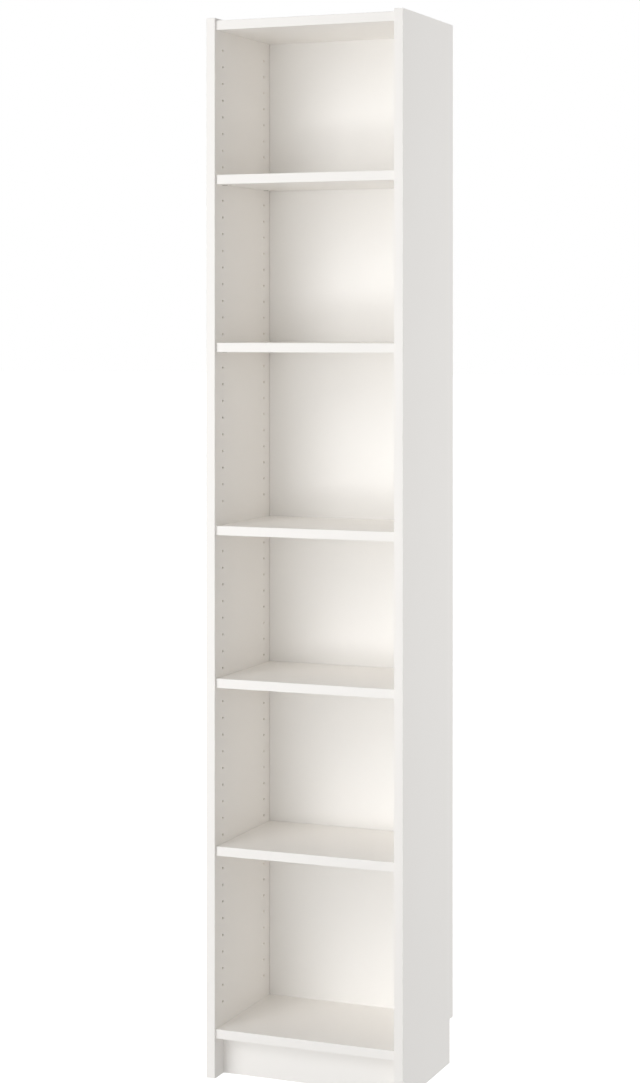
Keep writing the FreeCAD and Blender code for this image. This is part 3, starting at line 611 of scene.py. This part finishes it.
def bracket_screws(plated):
    """Pan head with a driver's cross, and a coarse thread that runs out at the point.

    The top of the head is part of an ellipse: its depth below the crown is
    crown (1 - sqrt(1 - (0.9 s)^2)) at s of the way to its rim.
    """
    boxes = solids("bracket_screws")
    size = boxes[0][HIGH] - boxes[0][LOW]
    length, head = size[Z], size[X] / 2
    crown, point = 1.1 * MM, 4 * MM
    thread_start = SCREW_HEAD_HEIGHT + 0.5 * MM
    to_rim = np.linspace(0, 1, 24)
    top = np.stack([crown * (1 - np.sqrt(1 - (0.9 * to_rim) ** 2)), head * 0.86 * to_rim], 1)
    below = rounded(
        (*top[-1], 0),
        (1.5 * MM, head, 0.4 * MM),
        (SCREW_HEAD_HEIGHT, head, 0.15 * MM),
        (SCREW_HEAD_HEIGHT, SCREW_RADIUS, 0.3 * MM),
        (length - point, SCREW_RADIUS, 0.3 * MM),
        (length, 0, 0))
    outline = finer(np.concatenate([top, below[1:]]),
                    SCREW_HEAD_HEIGHT + 1 * MM, length - 0.3 * MM, 0.18 * MM)

    def shape(x, r, t):
        in_face = x < crown + 0.1 * MM
        cut = np.where(in_face, cross_recess(r, t, reach=2.5 * MM, depth=1.5 * MM), 0)
        threaded = thread(x, r, t, thread_start, length, pitch=1.7 * MM, depth=0.32 * r)
        return x + cut, np.where(in_face | (x < thread_start), r, threaded)

    places = [end_of(box, Z, HIGH) for box in boxes]
    screws = turned_piece("pan_head_screws", outline, places, plated, around=64, shape=shape)
    stand_for(screws, "bracket_screws", "case")


def finish_metalwork():
    plated, castings = zinc_plate(), die_cast_zinc()
    give("wall_bracket", plated)
    for board in FASTENED:
        give(f"{board}_cam_locks", castings)
    shelf_pins(turned_steel())
    cam_bolts(plated)
    dowels(beech())
    back_nails(plated)
    bracket_screws(plated)


# ---------------------------------------------------------------- light, floor and camera
CAMERA_PLACE = (1.7242, -4.2516, 1.4354)
CAMERA_TURN = 22.256         # degrees from straight on, towards the bookcase's right side
CAMERA_LENS = 79.04          # mm, on a 36 mm frame
CAMERA_SHIFT = (-0.0032, -0.20)
GLOW_FROM_BELOW, GLOW_FROM_ABOVE = 0.615, 0.33
FLOOR_GLOW = 0.78
FLOOR_REACH = 60


def set_camera():
    """A level camera, so that upright edges stay upright, with its picture shifted down."""
    data = bpy.data.cameras.new("camera")
    data.sensor_width = 36
    data.lens = CAMERA_LENS
    data.shift_x, data.shift_y = CAMERA_SHIFT
    data.clip_end = 500
    camera = bpy.data.objects.new("camera", data)
    camera.location = CAMERA_PLACE
    camera.rotation_euler = (math.radians(90), 0, math.radians(CAMERA_TURN))
    bpy.context.scene.collection.objects.link(camera)
    bpy.context.scene.camera = camera


def softbox(name, turn, height, distance, size, watts, mirrored=False):
    """A lamp ``turn`` degrees round from the front (left is minus) that faces the case's middle.

    Only a ``mirrored`` lamp shows in the sheen of foil and metal; the brighter ones would glare.
    """
    data = bpy.data.lights.new(name, "AREA")
    data.shape = "RECTANGLE"
    data.size, data.size_y = size
    data.energy = watts
    lamp = bpy.data.objects.new(name, data)
    turn = math.radians(turn)
    lamp.location = (distance * math.sin(turn), -distance * math.cos(turn), height)
    tilt = math.atan2(height - sum(corner[Z] for corner in cad_box) / 2, distance)
    lamp.rotation_euler = (math.pi / 2 - tilt, 0, turn)
    lamp.visible_glossy = mirrored
    bpy.context.scene.collection.objects.link(lamp)


def set_studio():
    """Soft lamps round the case in a white room, whose floor throws back more light than its ceiling."""
    softbox("broad", turn=-27, height=1.25, distance=4.0, size=(3.2, 2.3), watts=31, mirrored=True)
    softbox("low", turn=-25, height=0.3, distance=3.6, size=(3.0, 0.5), watts=23)
    softbox("high", turn=-22, height=3.2, distance=4.0, size=(1.6, 1.6), watts=34)
    softbox("front", turn=0, height=1.0, distance=5.2, size=(2.2, 1.8), watts=18, mirrored=True)
    softbox("rear", turn=122, height=1.3, distance=4.1, size=(2.0, 2.0), watts=75)
    softbox("behind", turn=190, height=3.4, distance=2.6, size=(1.5, 1.5), watts=32)
    world = bpy.data.worlds.new("white_room")
    world.use_nodes = True
    nodes, link = world.node_tree.nodes, world.node_tree.links.new
    direction = nodes.new("ShaderNodeTexCoord")
    parts = nodes.new("ShaderNodeSeparateXYZ")
    glow = nodes.new("ShaderNodeMapRange")
    for name, value in (("From Min", -1), ("To Min", GLOW_FROM_BELOW), ("To Max", GLOW_FROM_ABOVE)):
        glow.inputs[name].default_value = value
    room = nodes["Background"]
    backdrop = nodes.new("ShaderNodeBackground")
    room.inputs["Color"].default_value = backdrop.inputs["Color"].default_value = (1, 1, 1, 1)
    rays = nodes.new("ShaderNodeLightPath")
    seen = nodes.new("ShaderNodeMixShader")
    link(direction.outputs["Generated"], parts.inputs[0])
    link(parts.outputs["Z"], glow.inputs["Value"])
    link(glow.outputs[0], room.inputs["Strength"])
    link(rays.outputs["Is Camera Ray"], seen.inputs[0])
    link(room.outputs[0], seen.inputs[1])
    link(backdrop.outputs[0], seen.inputs[2])
    link(seen.outputs[0], nodes["World Output"].inputs["Surface"])
    scene = bpy.context.scene
    scene.world = world
    scene.view_settings.view_transform = "Standard"
    scene.cycles.diffuse_bounces = 8


def set_floor():
    reach = FLOOR_REACH
    mesh = bpy.data.meshes.new("floor")
    mesh.from_pydata([(-reach, -reach, 0), (reach, -reach, 0), (reach, reach, 0), (-reach, reach, 0)],
                     [], [(0, 1, 2, 3)])
    floor = bpy.data.objects.new("floor", mesh)
    bpy.context.scene.collection.objects.link(floor)
    finish = Finish("pale_floor")
    cloud = finish.grain(0.5, detail=2)
    mesh.materials.append(finish.done(finish.mix(cloud, (0.90, 0.90, 0.90), (0.92, 0.92, 0.92)), 0.6,
                                      Emission_Color=(1, 1, 1, 1), Emission_Strength=FLOOR_GLOW))
    floor.visible_diffuse = False
    floor.visible_glossy = False


set_camera()
set_studio()
set_floor()
finish_boards()
finish_metalwork()
